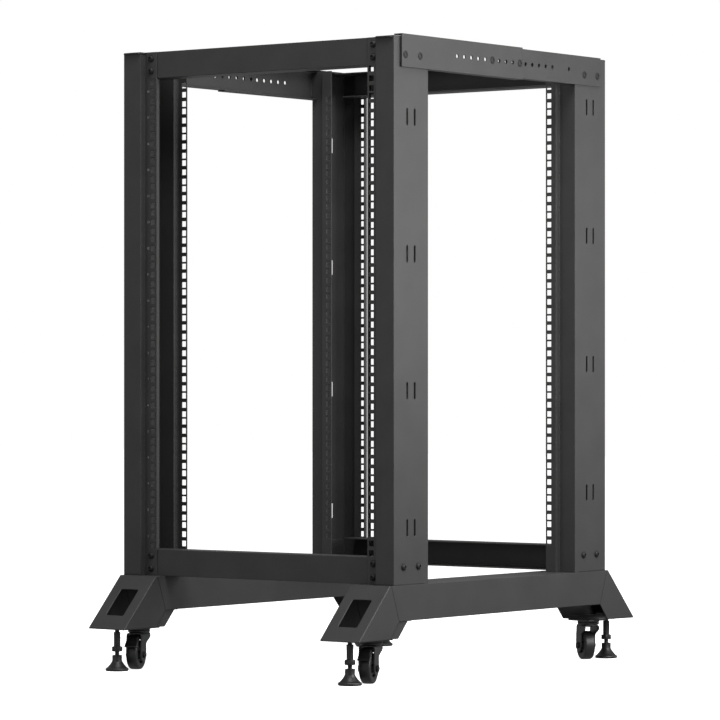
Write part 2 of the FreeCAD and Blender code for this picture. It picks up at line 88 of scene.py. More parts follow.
def newObject(name, data):
    made = bpy.data.objects.new(name, data)
    bpy.context.scene.collection.objects.link(made)
    return made


def newPiece(name, points, faces, material, body, slotName, smooth=True, smoothBelow=38):
    # numpy points (n, 3) in metres and a list of face index lists become one mesh object;
    # edges sharper than smoothBelow degrees stay sharp
    mesh = bpy.data.meshes.new(name)
    mesh.from_pydata(points.tolist(), [], [list(map(int, f)) for f in faces])
    mesh.update()
    mesh.polygons.foreach_set("use_smooth", np.full(len(mesh.polygons), smooth))
    mesh.materials.append(material)
    piece = newObject(name, mesh)
    if smooth:
        mesh.set_sharp_from_angle(angle=math.radians(smoothBelow))
    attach(piece, body)
    return piece


def addModifier(piece, kind, **settings):
    made = piece.modifiers.new(kind.lower(), kind)
    for key, value in settings.items():
        setattr(made, key, value)
    return made


def stripFaces(rows, columns):
    # quads of an open grid of points, row after row
    i, j = np.meshgrid(np.arange(rows - 1), np.arange(columns - 1), indexing="ij")
    here, above = i * columns + j, (i + 1) * columns + j
    return np.stack([here, here + 1, above + 1, above], -1).reshape(-1, 4).tolist()


def bandFaces(rows, around, closed=False):
    # quads between rows that are each a closed loop; closed also joins the last row to the first
    i, j = np.meshgrid(np.arange(rows if closed else rows - 1), np.arange(around), indexing="ij")
    n, k = (i + 1) % rows, (j + 1) % around
    quads = np.stack([i * around + j, i * around + k, n * around + k, n * around + j], -1)
    return quads.reshape(-1, 4).tolist()


def turnedOver(faces):
    # the same faces seen from the other side, each still starting at its first point
    return [face[:1] + face[:0:-1] for face in faces]


def fullTurn(around):
    return np.linspace(0, 2 * np.pi, around, endpoint=False)


def circles(profile, around):
    # every (radius, height) becomes a circle: point = (r cos u, r sin u, z)
    profile, u = np.array(profile, float), fullTurn(around)
    r, z = profile[:, :1], np.repeat(profile[:, 1:], around, axis=1)
    return np.stack([r * np.cos(u), r * np.sin(u), z], -1).reshape(-1, 3)


def cappedTube(grid, around, low, high):
    # rows of loops, closed by one pole point on the axis below and one above
    rows, j = len(grid) // around, np.arange(around)
    k, n, last = (j + 1) % around, len(grid), (rows - 1) * around
    lowFan = np.stack([np.full(around, n), k, j], -1).tolist()
    highFan = np.stack([np.full(around, n + 1), last + j, last + k], -1).tolist()
    points = np.vstack([grid, [[0, 0, low], [0, 0, high]]])
    return points, bandFaces(rows, around) + lowFan + highFan


def turnedForm(profile, around):
    # a profile of (radius, height) turned about Z, whose two ends lie on the axis
    return cappedTube(circles(profile[1:-1], around), around, profile[0][1], profile[-1][1])


def ringForm(profile, around):
    # a closed loop of (radius, height) turned about Z
    return circles(profile, around), bandFaces(len(profile), around, closed=True)


def spun(form, origin, turn):
    # turns a form about the vertical and moves it
    points, faces = form
    c, s = math.cos(turn), math.sin(turn)
    basis = np.array([[c, s, 0], [-s, c, 0], [0, 0, 1.0]])
    return points @ basis + np.array(origin, float), faces


def placed(form, origin, axis, turn=0.0):
    # turns a form so that its Z runs along the axis, after a turn about itself, and moves it
    points, faces = form
    z = np.array(axis, float)
    z /= np.linalg.norm(z)
    helper = np.array([0, 0, 1.0]) if abs(z[2]) < 0.9 else np.array([1.0, 0, 0])
    x = np.cross(helper, z)
    x /= np.linalg.norm(x)
    y = np.cross(z, x)
    c, s = math.cos(turn), math.sin(turn)
    basis = np.stack([x * c + y * s, y * c - x * s, z])
    return points @ basis + np.array(origin, float), faces


def joined(forms):
    # several forms as one list of points and one list of faces
    points, faces, start = [], [], 0
    for p, f in forms:
        points.append(p)
        faces += [[index + start for index in face] for face in f]
        start += len(p)
    return np.vstack(points), faces


def noiseOf(tree, coord, grain, detail, roughness):
    # a noise whose pattern is about one grain (in metres) across
    return addNode(tree, "ShaderNodeTexNoise", None, {
        "Vector": (coord, "Object"), "Scale": 1 / grain, "Detail": detail, "Roughness": roughness})


def toneRamp(tree, noise, hexCode, shares, ends=(0.0, 1.0)):
    # the colour swings between two shares of itself as the noise goes from one end to the other
    base = linear(hexCode)
    ramp = addNode(tree, "ShaderNodeValToRGB", None, {"Fac": (noise, "Fac")})
    for element, share, end in zip(ramp.color_ramp.elements, shares, ends):
        element.position = end
        element.color = tuple(min(c * share, 1) for c in base[:3]) + (1,)
    return ramp


def grainBump(tree, noise, fold, strength, distance):
    # rounded folds of the given radius, under the relief of the grain
    bevel = addNode(tree, "ShaderNodeBevel", {"samples": 6}, {"Radius": fold})
    return addNode(tree, "ShaderNodeBump", None, {
        "Height": (noise, "Fac"), "Normal": (bevel, "Normal"),
        "Strength": strength, "Distance": distance})


def powderCoat(name, hexCode, roughness, grain):
    # polyester powder coat, sprayed and baked: a fine pebbled skin that spreads the light,
    # over folds of 1.6 mm, with a slow drift of tone every 60 mm
    material, tree = newMaterial(name)
    coord = addNode(tree, "ShaderNodeTexCoord")
    drift = noiseOf(tree, coord, 0.060, 3.0, 0.55)
    pebble = noiseOf(tree, coord, grain, 2.0, 0.6)
    ramp = toneRamp(tree, drift, hexCode, (0.88, 1.12), (0.3, 0.7))
    speck = addNode(tree, "ShaderNodeMapRange", None, {
        "Value": (pebble, "Fac"), "From Min": 0.3, "From Max": 0.7,
        "To Min": roughness - 0.06, "To Max": roughness + 0.08})
    bump = grainBump(tree, pebble, 0.0016, 0.25, 0.0003)
    shader = addNode(tree, "ShaderNodeBsdfPrincipled", None, {
        "Base Color": (ramp, "Color"), "Roughness": (speck, "Result"), "Normal": (bump, "Normal"),
        "IOR": 1.5, "Specular IOR Level": 0.42})
    finishMaterial(tree, shader)
    return material


def platedSteel(name, hexCode, roughness, metal):
    # zinc plated steel: a bright thin metal skin, clouded by handling at a scale of 4 mm
    material, tree = newMaterial(name)
    cloud = noiseOf(tree, addNode(tree, "ShaderNodeTexCoord"), 0.004, 4.0, 0.6)
    ramp = toneRamp(tree, cloud, hexCode, (0.75, 1.2), (0.25, 0.75))
    rough = addNode(tree, "ShaderNodeMapRange", None, {
        "Value": (cloud, "Fac"), "To Min": roughness - 0.08, "To Max": roughness + 0.12})
    bump = grainBump(tree, cloud, 0.0006, 0.12, 0.0002)
    shader = addNode(tree, "ShaderNodeBsdfPrincipled", None, {
        "Base Color": (ramp, "Color"), "Roughness": (rough, "Result"), "Normal": (bump, "Normal"),
        "Metallic": metal})
    finishMaterial(tree, shader)
    return material


def mouldedBlack(name, hexCode, roughness, grain):
    # moulded nylon, hard rubber or dry ink: a matt skin with a fine even grain
    material, tree = newMaterial(name)
    skin = noiseOf(tree, addNode(tree, "ShaderNodeTexCoord"), grain, 3.0, 0.5)
    ramp = toneRamp(tree, skin, hexCode, (0.8, 1.25))
    rough = addNode(tree, "ShaderNodeMapRange", None, {
        "Value": (skin, "Fac"), "To Min": roughness - 0.1, "To Max": roughness + 0.1})
    bump = grainBump(tree, skin, 0.0006, 0.2, 0.0002)
    shader = addNode(tree, "ShaderNodeBsdfPrincipled", None, {
        "Base Color": (ramp, "Color"), "Roughness": (rough, "Result"), "Normal": (bump, "Normal"),
        "IOR": 1.5})
    finishMaterial(tree, shader)
    return material


blackPowder = powderCoat("powderCoatBlack", "2c2b2b", 0.5, 0.0011)  # grain of 1.1 mm, drawn coarse
pressedSteel = platedSteel("blackZincSteel", "4a4a4c", 0.42, 0.85)
boltZinc = platedSteel("blackenedZincBolt", "121213", 0.58, 0.25)
stemZinc = platedSteel("zincStem", "3e3e3f", 0.45, 0.8)
treadRubber = mouldedBlack("hardTreadRubber", "1c1c1d", 0.45, 0.0015)
shieldNylon = mouldedBlack("mouldedNylon", "19191a", 0.4, 0.0012)
# the near-black of the joint strips is painted shade, standing in for the shadow inside narrow gaps
# between sheets
jointShadePaint = mouldedBlack("paintedJointShade", "0e0e0e", 0.7, 0.0015)
printWhite = mouldedBlack("screenPrintedInk", "8c8c8c", 0.6, 0.0010)

finishes = {"powder_coat": blackPowder, "caster_steel": pressedSteel, "bolt_zinc": boltZinc,
            "leveller_zinc": stemZinc, "wheel_black": treadRubber, "shield_black": shieldNylon}
slotOf = {part["node"]: part["material_slot"] for part in frame["record"]["subparts"]}
for nodeName, cadObject in frame["nodes"].items():
    finish = finishes[slotOf[nodeName]]
    if not cadObject.material_slots:
        cadObject.data.materials.append(finish)
    for materialSlot in cadObject.material_slots:
        materialSlot.material = finish
print("materials on", len(frame["nodes"]), "nodes")


boltValues = {
    "headRadius": 0.0050, "headHigh": 0.0030, "washerRadius": 0.0062, "washerThick": 0.0011,
    "seat": 0.0004, "edge": 0.0002, "socket": 0.0026, "socketDeep": 0.0018, "around": 24,
    "domeDrop": 0.62, "domePower": 2.4, "twist": 0.4,
    "stripAcross": 0.2365, "stripFace": 0.2955, "stripHeights": (1.036, 1.015, 0.192, 0.170),
    "columns": (0.24075, 0.28075), "outerRail": 0.291, "innerRail": 0.289, "railHeight": 1.017,
    "web": 0.287, "webHeight": 0.1875, "overlap": (-0.0375, 0.0425), "overlapHeight": 1.024,
    "railShare": 0.5, "webShare": 0.95,
}


def buttonHead(v):
    # a washer and a domed head with a round socket: the dome falls as the 2.4 power of the
    # radius, and the socket's floor is flat; the washer's foot stands a little inside the sheet
    r, top, t, w, s = (v["headRadius"], v["washerThick"] + v["headHigh"], v["washerThick"],
                       v["washerRadius"], v["socket"])
    k = np.array([1.0, 0.93, 0.82, 0.68, s / r + 0.04])
    dome = np.column_stack([r * k, top - v["headHigh"] * v["domeDrop"] * k ** v["domePower"]])
    washer = [(0, -v["seat"]), (w, -v["seat"]), (w, t * 0.8), (w - v["edge"], t), (r * 0.99, t)]
    floor = top - v["socketDeep"]
    socket = [(s, top - v["edge"]), (s * 0.94, floor), (0, floor)]
    return turnedForm(washer + dome.tolist() + socket, v["around"])


def boltSpots(v):
    # every bolt head as (place, outward axis, how much of its height it keeps)
    spots = []
    for sx in (1, -1):
        for sy in (-1, 1):
            for z in v["stripHeights"]:
                spots.append(((v["stripAcross"] * sx, v["stripFace"] * sy, z), (0, sy, 0), 1.0))
            railFace = v["outerRail"] if sx * sy < 0 else v["innerRail"]
            for y in v["columns"]:
                spots.append(((railFace * sx, y * sy, v["railHeight"]), (sx, 0, 0), v["railShare"]))
                spots.append(((v["web"] * sx, y * sy, v["webHeight"]), (sx, 0, 0), v["webShare"]))
        for y in v["overlap"]:
            place = (v["outerRail"] * sx, y * sx, v["overlapHeight"])
            spots.append((place, (sx, 0, 0), v["railShare"]))
    return spots


headPoints, headFaces = buttonHead(boltValues)
boltForms = [placed((headPoints * (1, 1, share), headFaces), spot, axis, boltValues["twist"] * n)
             for n, (spot, axis, share) in enumerate(boltSpots(boltValues))]
newPiece("frameBolts", *joined(boltForms), boltZinc, "rack", "bolt_zinc")
print("bolts", len(boltForms))


numberValues = {"first": 0.20245, "pitch": 0.04445, "count": 18, "tall": 0.0056, "ink": 0.00003,
                "across": 0.2432, "face": 0.2955, "lift": 0.0205, "digits": 8}


def numeralForm(text, v):
    # the outline of a plain numeral, raised by the thickness of the ink; it stands in X and Z
    curve = bpy.data.curves.new("numeral", "FONT")
    curve.body = text
    curve.size = v["tall"]
    curve.align_x = "CENTER"
    curve.extrude = v["ink"]
    curve.resolution_u = 2
    carrier = newObject("numeral", curve)
    bpy.context.view_layer.update()
    mesh = bpy.data.meshes.new_from_object(carrier)
    flat = np.empty(len(mesh.vertices) * 3)
    mesh.vertices.foreach_get("co", flat)
    faces = [list(polygon.vertices) for polygon in mesh.polygons]
    bpy.data.objects.remove(carrier)
    bpy.data.meshes.remove(mesh)
    # the text's caps and sides share no points, so equal points are made one
    flat, index = np.unique(np.round(flat.reshape(-1, 3), v["digits"]), axis=0, return_inverse=True)
    index = index.ravel()
    faces = [[int(index[k]) for k in face] for face in faces]
    return np.stack([flat[:, 0], -flat[:, 2], flat[:, 1]], -1), faces


numeralForms = []
for n in range(numberValues["count"]):
    form = numeralForm(str(n + 1), numberValues)
    z = numberValues["first"] + numberValues["pitch"] * n + numberValues["lift"]
    for sx in (1, -1):
        for sy in (-1, 1):
            place = (numberValues["across"] * sx, numberValues["face"] * sy, z)
            numeralForms.append(spun(form, place, 0 if sy < 0 else math.pi))
newPiece("unitNumbers", *joined(numeralForms), printWhite, "rack", "bolt_zinc", smooth=False)
print("unit numbers", len(numeralForms))


footValues = {
    "inside": 0.207, "outside": 0.287, "deck": 0.158, "toeZ": 0.072, "low": 0.100,
    "backTop": 0.313, "crest": 0.3175, "toe": 0.3995, "heel": 0.316, "backLow": 0.2925,
    "windowLow": 0.094, "windowHigh": 0.136, "windowHalf": 0.01925, "corner": 0.0028,
    "sheet": 0.0019, "fold": 0.0016, "shift": 0.494,
}


def footShell(v):
    # a folded sheet: two side walls and a sloped face, which is a strip between the outer
    # outline and a round-cornered window; both outlines are walked together, corner by corner
    side = np.array([(-v["backTop"], v["deck"]), (-v["crest"], v["deck"]), (-v["toe"], v["toeZ"]),
                     (-v["heel"], v["toeZ"]), (-v["backLow"], v["low"])])
    walls = np.vstack([np.column_stack([np.full(len(side), x), side])
                       for x in (v["inside"], v["outside"])])
    # the window's corners are quarter circles; on the slope, depth follows height in proportion
    c, middle = v["corner"], (v["inside"] + v["outside"]) / 2
    t = np.linspace(0, np.pi / 2, 4) + np.arange(4)[:, None] * np.pi / 2
    across = middle + np.array([1, -1, -1, 1]) * (v["windowHalf"] - c)
    up = np.repeat([v["windowHigh"] - c, v["windowLow"] + c], 2)
    x, z = across[:, None] + c * np.cos(t), up[:, None] + c * np.sin(t)
    slope = (v["toe"] - v["crest"]) / (v["deck"] - v["toeZ"])
    window = np.stack([x, -(v["crest"] + (v["deck"] - z) * slope), z], -1).reshape(-1, 3)
    faces = [[4, 3, 2, 1, 0], [5, 6, 7, 8, 9], [1, 6, 5, 0]]
    outer = (6, 1, 2, 7, 6)  # crest right, crest left, toe left, toe right, and round again
    for n in range(4):
        ring = [len(walls) + (n * 4 + m) % 16 for m in range(5)]
        faces += [[ring[m + 1], ring[m], outer[n]] for m in range(3)]
        faces.append([outer[n + 1], ring[4], ring[3], outer[n]])
    return np.vstack([walls, window]), faces


footForm = footShell(footValues)
for corner in corners:
    # the same shell at each corner: moved across on its own side, turned half round at the back
    sx, sy = signsOf(corner)
    shift = 0 if sx * sy < 0 else footValues["shift"] * sx
    points, faces = spun(footForm, (shift, 0, 0), math.pi if sy > 0 else 0.0)
    foot = newPiece("footShell_" + corner, points, faces, blackPowder, "rack", "powder_coat")
    addModifier(foot, "SOLIDIFY", thickness=footValues["sheet"], offset=-1, use_even_offset=True)
    addModifier(foot, "BEVEL", width=footValues["fold"], segments=3, limit_method="ANGLE",
                angle_limit=math.radians(30), harden_normals=True, use_clamp_overlap=True)
    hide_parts("foot_" + corner)
print("feet folded")


seamValues = {"wide": 0.0014, "heelShare": 0.7, "tailShare": 0.8, "tail": 0.032, "inset": 0.0004,
              "postWide": 0.0020, "postInset": 0.0008, "postSide": 0.0815, "postFace": 0.0395,
              "proud": 0.00012, "deep": 0.0004}


def seamStrip(start, end, outward, wide, v):
    # a straight strip from start to end: four corner lines, proud and deep along the outward
    # direction and half the width to each side of it
    start, end, outward = (np.array(p, float) for p in (start, end, outward))
    side = np.cross((end - start) / np.linalg.norm(end - start), outward) * wide / 2
    proud, deep = outward * v["proud"], -outward * v["deep"]
    section = np.stack([proud + side, proud - side, deep - side, deep + side])
    sides = [[k, k + 4, (k + 1) % 4 + 4, (k + 1) % 4] for k in range(4)]
    return np.vstack([start + section, end + section]), [[0, 1, 2, 3], [7, 6, 5, 4]] + sides


def seamForms(v, f):
    # where two sheets meet, the shadow in their narrow joint is painted shade: a near-black strip
    # on the surface, for the foot walls on the base beams and the feet of the posts on both
    forms = []
    for sx in (1, -1):
        for sy in (-1, 1):
            for x, way in ((f["outside"] * sx, sx), (f["inside"] * sx, -sx)):
                top = (x, f["backTop"] * sy, f["deck"] - v["inset"])
                low = (x, f["backLow"] * sy, f["low"])
                heel = (x, f["heel"] * sy, f["toeZ"] + v["inset"])
                tail = (x, (f["backLow"] - v["tail"]) * sy, f["low"])
                forms.append(seamStrip(top, low, (way, 0, 0), v["wide"], v))
                forms.append(seamStrip(low, heel, (way, 0, 0), v["wide"] * v["heelShare"], v))
                forms.append(seamStrip(low, tail, (way, 0, 0), v["wide"] * v["tailShare"], v))
            post = "post_" + ("front" if sy < 0 else "rear") + ("_right" if sx > 0 else "_left")
            boxLow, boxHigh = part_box(post)
            x = boxHigh[0] if sx > 0 else boxLow[0]
            y = boxHigh[1] if sy > 0 else boxLow[1]
            z = boxLow[2] + v["postWide"] / 2
            forms.append(seamStrip((x, y - v["postInset"] * sy, z), (x, y - v["postSide"] * sy, z),
                                   (sx, 0, 0), v["postWide"], v))
            forms.append(seamStrip((x - v["postInset"] * sx, y, z), (x - v["postFace"] * sx, y, z),
                                   (0, sy, 0), v["postWide"], v))
    return forms


# these strips carry painted shade along the joints
newPiece("paintedSeamShade", *joined(seamForms(seamValues, footValues)), jointShadePaint, "rack", "powder_coat",
         smooth=False)
print("seams drawn")


capValues = {"inside": 0.2490, "outside": 0.2862, "near": 0.2360, "far": 0.3125, "chamfer": 0.0030,
             "under": 0.0026, "thick": 0.0009}


def capPlate(v):
    # a flat outline with cut corners, repeated at two heights and closed by a band of sides
    x0, x1, y0, y1, c = v["inside"], v["outside"], v["near"], v["far"], v["chamfer"]
    outline = np.array([(x0 + c, y0), (x1 - c, y0), (x1, y0 + c), (x1, y1 - c),
                        (x1 - c, y1), (x0 + c, y1), (x0, y1 - c), (x0, y0 + c)])
    count = len(outline)
    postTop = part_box("post_front_right")[1][2]
    low = np.column_stack([outline, np.full(count, postTop - v["under"])])
    lids = [list(range(count))[::-1], list(range(count, 2 * count))]
    return np.vstack([low, low + (0, 0, v["thick"])]), lids + bandFaces(2, count)


capForms = []
capPoints, capFaces = capPlate(capValues)
for sx in (1, -1):
    for sy in (1, -1):
        # a plate mirrored once needs its faces turned over
        faces = capFaces if sx * sy > 0 else [face[::-1] for face in capFaces]
        capForms.append((capPoints * (sx, sy, 1), faces))
newPiece("postCaps", *joined(capForms), blackPowder, "rack", "powder_coat", smooth=False)
print("post caps fitted")


casterValues = {
    "ahead": 0.315, "across": 0.247, "frontTurn": -70.8, "rearTurn": 144.3, "around": 56,
    "trail": 0.013, "axle": 0.025, "radius": 0.025, "half": 0.0094, "crowned": 0.0002,
    "shoulder": 0.003, "hub": 0.0172, "hubAround": 40,
    "rim": ((0.0, -0.0004), (-0.0016, 0.0), (-0.0028, -0.0006)),
    "web": ((0.0130, 0.5), (0.0085, 0.42), (0.0072, 0.6)),
    "boss": ((0.0068, 0.0012), (0.0062, 0.0016), (0.0032, 0.0016)),
    "legMid": 0.01275, "legWide": 0.0235, "crownZ": 0.06125, "bend": 0.004, "crownMiddle": 0.0023,
    "crownWide": 0.041, "flareFrom": 0.043, "flareTo": 0.05525, "sheet": 0.0024, "fold": 0.0005,
    "coverRadius": 0.0295, "coverHalf": 0.0108, "coverThick": 0.003, "coverFold": 0.0007,
    "coverArc": (28, 86), "lipFrom": 44, "lipOver": 16, "lipFlare": 0.0012,
    "blockArc": (44, 122), "blockLow": 0.0289, "blockHigh": 0.0341, "blockShare": 0.86,
    "blockThin": 0.0030, "thinFrom": 62, "thinOver": 18, "blockRound": 0.35,
    "race": ((0, 0.0615), (0.0165, 0.0615), (0.0185, 0.0628), (0.019, 0.0645), (0.0186, 0.0658),
             (0.0178, 0.0661), (0, 0.0661)), "raceAround": 48,
}


def treadLoop(v):
    # tyre section: a slightly crowned tread whose shoulders turn in on a 3 mm round
    h, r, s = v["half"], v["radius"] - v["crowned"], v["shoulder"]
    t = np.linspace(0, np.pi / 2, 6)
    low = np.column_stack([r - s + s * np.sin(t), -h + s - s * np.cos(t)])
    high = low[::-1] * (1, -1)
    return [(v["hub"], -h)] + low.tolist() + [(v["radius"], 0.0)] + high.tolist() + [(v["hub"], h)]


def hubLoop(v):
    # hub section: a rim, a dished web and a boss round the bore, the same on both sides
    h = v["half"]
    side = np.array([(v["hub"] + r, h + z) for r, z in v["rim"]] + [(r, h * z) for r, z in v["web"]]
                    + [(r, h + z) for r, z in v["boss"]])
    return np.vstack([side[::-1] * (1, -1), side])


def bentFork(v):
    # a strip carried along an arch: up one leg, over the crown and down the other. Along it the
    # strip's middle and width go smoothly from the leg's to the crown's, and each end is a
    # half round
    half, legTop, columns = v["legWide"] / 2, v["crownZ"] - v["bend"], 9
    down = v["axle"] - half + half * (1 - np.cos(np.linspace(0, np.pi / 2, 8)))
    up = np.concatenate([down, np.linspace(v["axle"] + 0.003, legTop, 12)])
    arc = np.linspace(0, np.pi / 2, 6)[1:]
    inward = v["bend"] * (1 - np.cos(arc))
    y = np.concatenate([np.full(len(up), -v["legMid"]), -v["legMid"] + inward])
    z = np.concatenate([up, legTop + v["bend"] * np.sin(arc)])
    y, z = np.concatenate([y, -y[::-1]]), np.concatenate([z, z[::-1]])
    rise = np.clip((z - v["flareFrom"]) / (v["flareTo"] - v["flareFrom"]), 0, 1)
    ease = rise * rise * (3 - 2 * rise)
    middle = v["trail"] + (v["crownMiddle"] - v["trail"]) * ease
    width = v["legWide"] + (v["crownWide"] - v["legWide"]) * ease
    below = np.clip(v["axle"] - z, 0, half * 0.985)  # the tip keeps some width
    width = np.where(z < v["axle"], 2 * np.sqrt(half ** 2 - below ** 2), width)
    x = middle[:, None] + width[:, None] * np.linspace(-0.5, 0.5, columns)[None, :]
    flat = np.ones((1, columns))
    grid = np.stack([x, y[:, None] * flat, z[:, None] * flat], -1).reshape(-1, 3)
    return grid, stripFaces(len(y), columns)


def wheelCover(v):
    # a strip on an arc round the wheel's axle, whose radius grows a little towards its lip
    rows, columns = 14, 7
    a = np.linspace(*v["coverArc"], rows)[:, None]
    across = np.linspace(-1, 1, columns)[None, :]
    r = v["coverRadius"] + v["lipFlare"] * np.clip((v["lipFrom"] - a) / v["lipOver"], 0, 1) ** 2
    x = v["trail"] + r * np.cos(np.radians(a)) + 0 * across
    z = v["axle"] + r * np.sin(np.radians(a)) + 0 * across
    y = v["coverHalf"] * across + 0 * a
    return np.stack([x, y, z], -1).reshape(-1, 3), stripFaces(rows, columns)


def brakeBlock(v):
    # a bar carried on an arc round the axle: its section is a rounded oblong between the
    # cover and the crown, and it thins towards the lip
    rows, around = 16, 20
    a, t = np.linspace(*v["blockArc"], rows), fullTurn(around)
    wide, tall = (np.sign(w) * np.abs(w) ** v["blockRound"] for w in (np.cos(t), np.sin(t)))
    high = v["blockHigh"] - v["blockThin"] * np.clip((v["thinFrom"] - a) / v["thinOver"], 0, 1)
    middle, half = (v["blockLow"] + high) / 2, (high - v["blockLow"]) / 2
    r = middle[:, None] + half[:, None] * tall[None, :]
    y = v["coverHalf"] * v["blockShare"] * wide[None, :] + 0 * r
    turn = np.radians(a)[:, None]
    x, z = v["trail"] + r * np.cos(turn), v["axle"] + r * np.sin(turn)
    ends = [list(range(around)), list(range((rows - 1) * around, rows * around))[::-1]]
    return np.stack([x, y, z], -1).reshape(-1, 3), turnedOver(bandFaces(rows, around)) + ends


for corner in corners:
    v = casterValues
    sx, sy = signsOf(corner)
    spot = np.array([v["across"] * sx, v["ahead"] * sy, 0])
    turn = math.radians(v["frontTurn"] if sy < 0 else v["rearTurn"])
    trailing = np.array([math.cos(turn), math.sin(turn), 0])
    axlePlace = spot + trailing * v["trail"] + (0, 0, v["axle"])
    axleLine = (math.sin(turn), -math.cos(turn), 0)
    roll, swivel = "roll_" + corner, "swivel_" + corner
    foldLimit = {"segments": 2, "limit_method": "ANGLE", "angle_limit": math.radians(40)}

    points, faces = placed(ringForm(treadLoop(v), v["around"]), axlePlace, axleLine)
    tread = newPiece("casterTread_" + corner, points, faces, treadRubber, roll, "wheel_black")
    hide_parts("caster_wheel_" + corner)
    points, faces = placed(ringForm(hubLoop(v), v["hubAround"]), axlePlace, axleLine)
    newPiece("casterHub_" + corner, points, faces, shieldNylon, roll, "wheel_black")

    points, faces = spun(bentFork(v), spot, turn)
    fork = newPiece("casterFork_" + corner, points, faces, pressedSteel, swivel, "caster_steel")
    addModifier(fork, "SOLIDIFY", thickness=v["sheet"], offset=0, use_even_offset=True)
    addModifier(fork, "BEVEL", width=v["fold"], **foldLimit)
    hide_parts("caster_fork_" + corner)
    points, faces = spun(turnedForm(v["race"], v["raceAround"]), spot, turn)
    newPiece("casterRace_" + corner, points, faces, pressedSteel, swivel, "caster_steel")

    if sy < 0:
        points, faces = spun(brakeBlock(v), spot, turn)
        newPiece("brakeBlock_" + corner, points, faces, shieldNylon, swivel, "shield_black")
        points, faces = spun(wheelCover(v), spot, turn)
        cover = newPiece("wheelCover_" + corner, points, faces, shieldNylon, swivel, "shield_black")
        addModifier(cover, "SOLIDIFY", thickness=v["coverThick"], offset=0, use_even_offset=True)
        addModifier(cover, "BEVEL", width=v["coverFold"], **foldLimit)
        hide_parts("caster_shield_" + corner)
print("casters dressed")


levellerValues = {
    "across": 0.247, "ahead": 0.3715, "around": 40, "edge": 0.0006,
    "padRadius": 0.0194, "rim": 0.0052, "coneTop": 0.0170, "collar": 0.0082, "collarTop": 0.0265,
    "flare": 1.3, "coneInset": 0.0026, "coneLift": 0.0004,
    "sleeve": 0.0056, "sleeveFrom": 0.0405, "sleeveTop": 0.0655, "sleeveCut": 0.0005,
    "sleeveAround": 32,
    "stem": 0.0039, "stemFrom": 0.0230, "stemTop": 0.0898, "pitch": 0.0015, "threadDeep": 0.0005,
    "stemAround": 20,
    "nutLow": 0.0331, "nutHigh": 0.0409, "nutAcross": 0.0168, "nutBore": 0.0037,
    "nutChamfer": 0.0009, "nutLimit": 1.12, "nutAround": 48,
}


def levellerPad(v):
    # pad, rounded rim, flared cone and collar turned about the stem; the cone's radius falls as
    # the 1.3 power of the height that is left
    r, rim, collar, top, edge = v["padRadius"], v["rim"], v["collar"], v["collarTop"], v["edge"]
    k = np.linspace(0, 1, 7)
    cone = np.column_stack([collar + (r - v["coneInset"] - collar) * (1 - k) ** v["flare"],
                            rim + v["coneLift"] + (v["coneTop"] - rim) * k])
    pad = [(0, 0), (r - 0.0010, 0), (r - 0.0002, 0.0008), (r, 0.0024), (r - 0.0003, rim - 0.0012),
           (r - 0.0014, rim)]
    neck = [(collar, top - edge), (collar - edge, top), (0, top)]
    return turnedForm(pad + cone.tolist() + neck, v["around"])


def threadedStem(v):
    # radius falls and rises as a triangle wave of height less turn: one helical groove, in
    # four rows of points to a pitch
    around, low, high = v["stemAround"], v["stemFrom"], v["stemTop"]
    rows = int((high - low) / (v["pitch"] / 4))
    u = fullTurn(around)[None, :]
    z = np.linspace(low, high - v["edge"], rows)[:, None]
    phase = (z / v["pitch"] - u / (2 * np.pi)) % 1.0
    r = v["stem"] - v["threadDeep"] * np.abs(phase * 2 - 1)
    grid = np.stack([r * np.cos(u), r * np.sin(u), z + 0 * u], -1).reshape(-1, 3)
    return cappedTube(grid, around, low, high)


def hexNut(v):
    # the outside radius follows a hexagon, and the chamfer trims it to a circle at both faces
    low, high, inner, around = v["nutLow"], v["nutHigh"], v["nutAcross"] / 2, v["nutAround"]
    u = fullTurn(around)
    hexagon = inner / np.cos((u + np.pi / 6) % (np.pi / 3) - np.pi / 6)
    trimmed, edge = np.minimum(hexagon, inner), np.minimum(hexagon, inner * v["nutLimit"])
    bore, c = np.full(around, v["nutBore"]), v["nutChamfer"]
    rings = [(bore, low), (trimmed, low), (edge, low + c), (edge, high - c), (trimmed, high),
             (bore, high)]
    points = np.vstack([np.stack([r * np.cos(u), r * np.sin(u), np.full(around, z)], -1)
                        for r, z in rings])
    return points, bandFaces(len(rings), around, closed=True)


def stemSleeve(v):
    # a plain sleeve above the nut, cut back a little at both ends
    r, cut, edge = v["sleeve"], v["sleeveCut"], v["edge"]
    low, high = v["sleeveFrom"], v["sleeveTop"]
    return turnedForm([(0, low), (r - cut, low), (r, low + edge), (r, high - edge), (r - cut, high),
                       (0, high)], v["sleeveAround"])


for corner in corners:
    v = levellerValues
    sx, sy = signsOf(corner)
    spot = (v["across"] * sx, v["ahead"] * sy, 0)
    body = "leveller_body_" + corner
    points, faces = placed(levellerPad(v), spot, (0, 0, 1))
    newPiece("levellerPad_" + corner, points, faces, shieldNylon, body, "leveller_zinc")
    points, faces = placed(joined([threadedStem(v), hexNut(v), stemSleeve(v)]), spot, (0, 0, 1))
    stem = newPiece("levellerStem_" + corner, points, faces, stemZinc, body, "leveller_zinc")
    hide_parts("leveller_" + corner)
print("levelling feet dressed")


